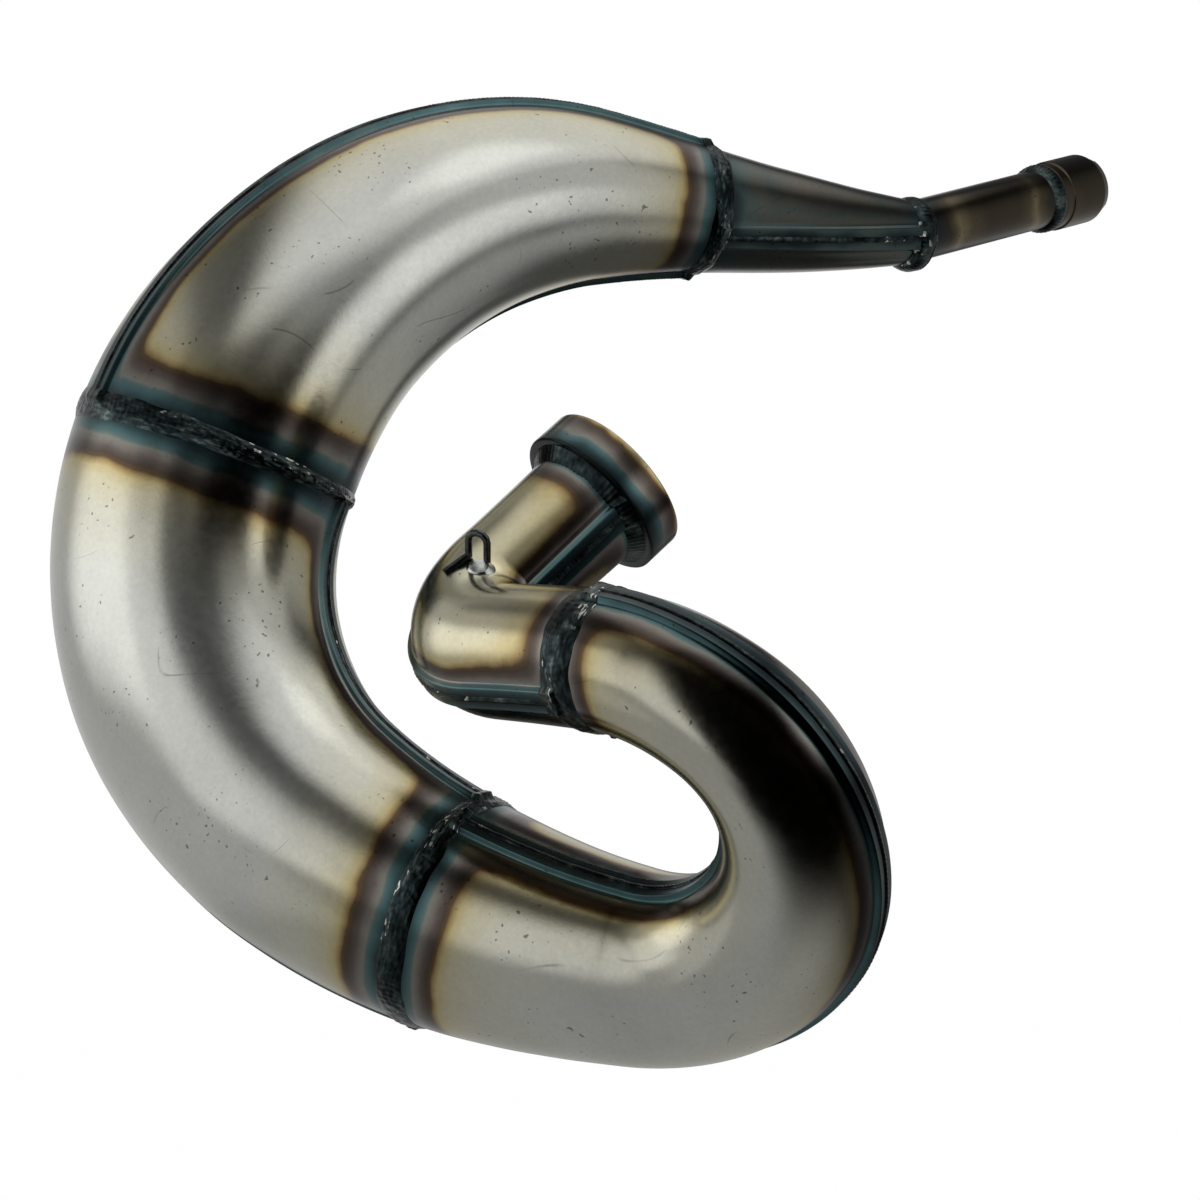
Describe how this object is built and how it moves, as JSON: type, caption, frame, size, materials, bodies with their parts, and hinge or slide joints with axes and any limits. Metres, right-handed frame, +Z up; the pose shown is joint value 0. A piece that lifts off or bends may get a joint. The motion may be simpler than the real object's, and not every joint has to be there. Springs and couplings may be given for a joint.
{
  "type": "exhaust pipe",
  "caption": "Welded sheet-steel expansion chamber that curls from a header socket through a fat belly to a slim outlet tube.",
  "frame": {"origin": "centre of the header socket's mouth", "axes": "+X to the rear of the bike, +Y to its right-hand side, +Z up"},
  "size_m": [0.4936, 0.4789, 0.4157],
  "materials": {
    "pressed_steel": "bare pressed steel sheet, satin, tinted by heat beside the welds",
    "weld_bead": "rough weld bead, rippled, dark with scale",
    "socket_steel": "turned steel ring, tinted in bands by heat",
    "stinger_steel": "drawn steel tube, dark with heat",
    "collar_steel": "turned steel collar, dark with heat",
    "hook_wire": "bent steel wire",
    "bracket_steel": "cut steel plate"
  },
  "bodies": {
    "root": {"header_socket_ring": "socket_steel", "header_socket_weld": "weld_bead", "elbow_left_half": "pressed_steel", "elbow_right_half": "pressed_steel", "loop_left_half": "pressed_steel", "loop_right_half": "pressed_steel", "belly_left_half": "pressed_steel", "belly_right_half": "pressed_steel", "upper_left_half": "pressed_steel", "upper_right_half": "pressed_steel", "cone_upper_half": "pressed_steel", "cone_lower_half": "pressed_steel", "elbow_inner_seam_weld": "weld_bead", "elbow_outer_seam_weld": "weld_bead", "loop_inner_seam_weld": "weld_bead", "loop_outer_seam_weld": "weld_bead", "belly_inner_seam_weld": "weld_bead", "belly_outer_seam_weld": "weld_bead", "upper_inner_seam_weld": "weld_bead", "upper_outer_seam_weld": "weld_bead", "cone_left_seam_weld": "weld_bead", "cone_right_seam_weld": "weld_bead", "elbow_loop_ring_weld": "weld_bead", "loop_belly_ring_weld": "weld_bead", "belly_upper_ring_weld": "weld_bead", "upper_cone_ring_weld": "weld_bead", "cone_stinger_weld": "weld_bead", "collar_weld": "weld_bead", "stinger_tube": "stinger_steel", "end_collar": "collar_steel", "spring_hook_left": "hook_wire", "spring_hook_right": "hook_wire", "spring_hook_left_weld": "weld_bead", "spring_hook_right_weld": "weld_bead", "lower_mounting_tab": "bracket_steel", "upper_mounting_tab": "bracket_steel", "lower_tab_weld": "weld_bead", "upper_tab_weld": "weld_bead"}
  },
  "joints": []
}
